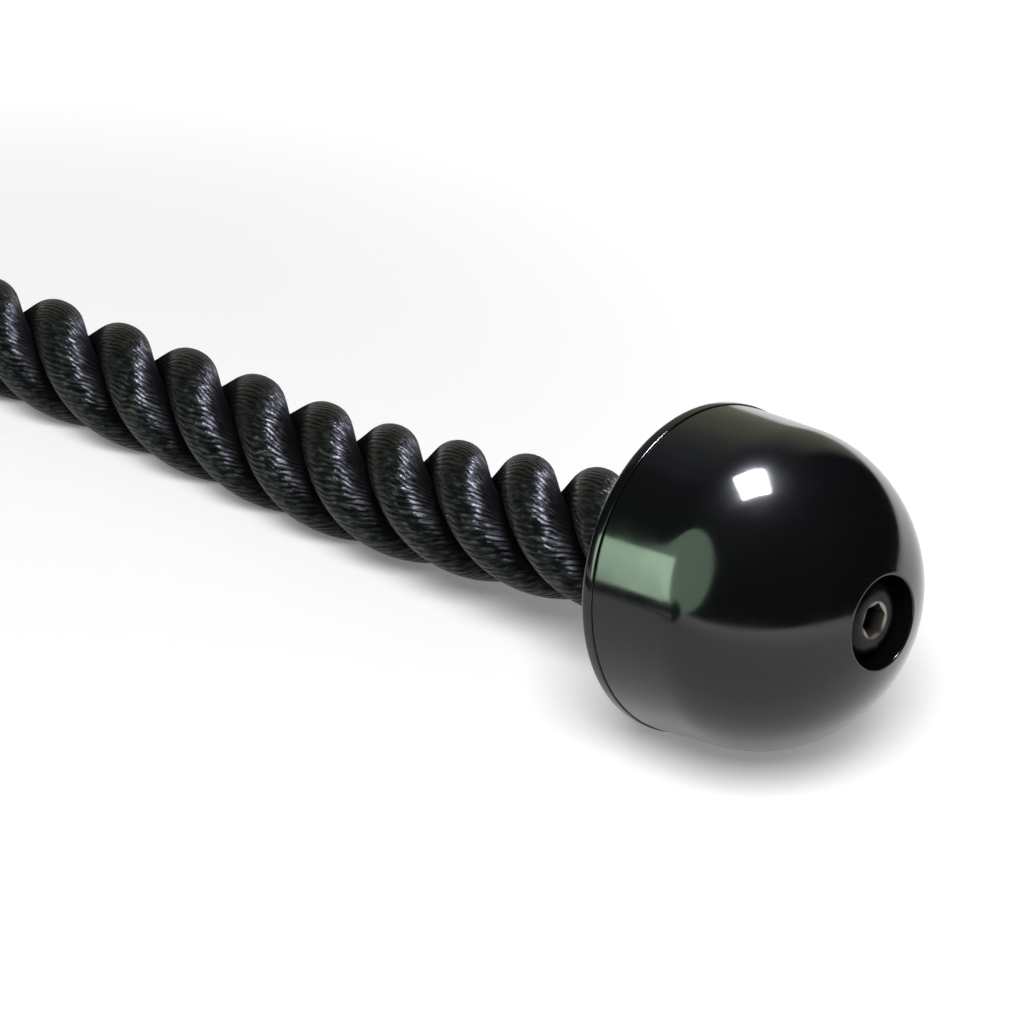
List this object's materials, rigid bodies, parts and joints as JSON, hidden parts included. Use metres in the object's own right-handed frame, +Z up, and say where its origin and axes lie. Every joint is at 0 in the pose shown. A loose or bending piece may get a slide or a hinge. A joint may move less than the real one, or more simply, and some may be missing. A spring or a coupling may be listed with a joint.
{
  "type": "triceps rope attachment",
  "caption": "Thick twisted gym rope folded through a bent steel saddle, with a bolted moulded ball on each end and a swinging ring in a welded lug for a cable machine's hook.",
  "frame": {"origin": "on the floor, under the centre of the box round everything but the free rope", "axes": "+Y from the ball ends to the ring, +Z up from the floor it lies on, +X across, to the right leg when the ring points away"},
  "size_m": [0.3924, 0.4932, 0.0708],
  "materials": {
    "rope": "black three-strand twisted nylon, faint sheen along the yarns",
    "ball_plastic": "glossy injection-moulded black plastic",
    "plated_steel": "bright plated steel",
    "black_steel": "blackened bolt steel, worn at the edges",
    "plain_steel": "plain turned steel"
  },
  "bodies": {
    "centre_fitting": {"saddle_tube": "plated_steel", "lug_plate": "plated_steel", "rope_bend": "rope", "rope_rivet_right": "plated_steel", "rope_rivet_left": "plated_steel", "rope_flex_right": "rope", "rope_flex_left": "rope"},
    "ring": {"attachment_ring": "plated_steel"},
    "leg_right": {"rope_leg_right": "rope", "ball_dome_right": "ball_plastic", "ball_base_right": "ball_plastic", "end_ferrule_right": "plain_steel", "weld_nut_right": "plain_steel", "head_washer_right": "plated_steel", "ball_bolt_right": "black_steel"},
    "leg_left": {"rope_leg_left": "rope", "ball_dome_left": "ball_plastic", "ball_base_left": "ball_plastic", "end_ferrule_left": "plain_steel", "weld_nut_left": "plain_steel", "head_washer_left": "plated_steel", "ball_bolt_left": "black_steel"}
  },
  "joints": [
    {"name": "ring_swing", "type": "hinge", "parent": "centre_fitting", "child": "ring", "pos_m": [0, 0.19834, 0.01615], "axis": [1, 0, 0], "range_deg": [-125, 150]},
    {"name": "leg_right_swing", "type": "hinge", "parent": "centre_fitting", "child": "leg_right", "pos_m": [0.06111, 0.08879, 0], "axis": [0, 0, 1], "range_deg": [-23, 45], "deforming": ["rope_flex_right"]},
    {"name": "leg_left_swing", "type": "hinge", "parent": "centre_fitting", "child": "leg_left", "pos_m": [-0.06111, 0.08879, 0], "axis": [0, 0, -1], "range_deg": [-23, 45], "deforming": ["rope_flex_left"]}
  ]
}
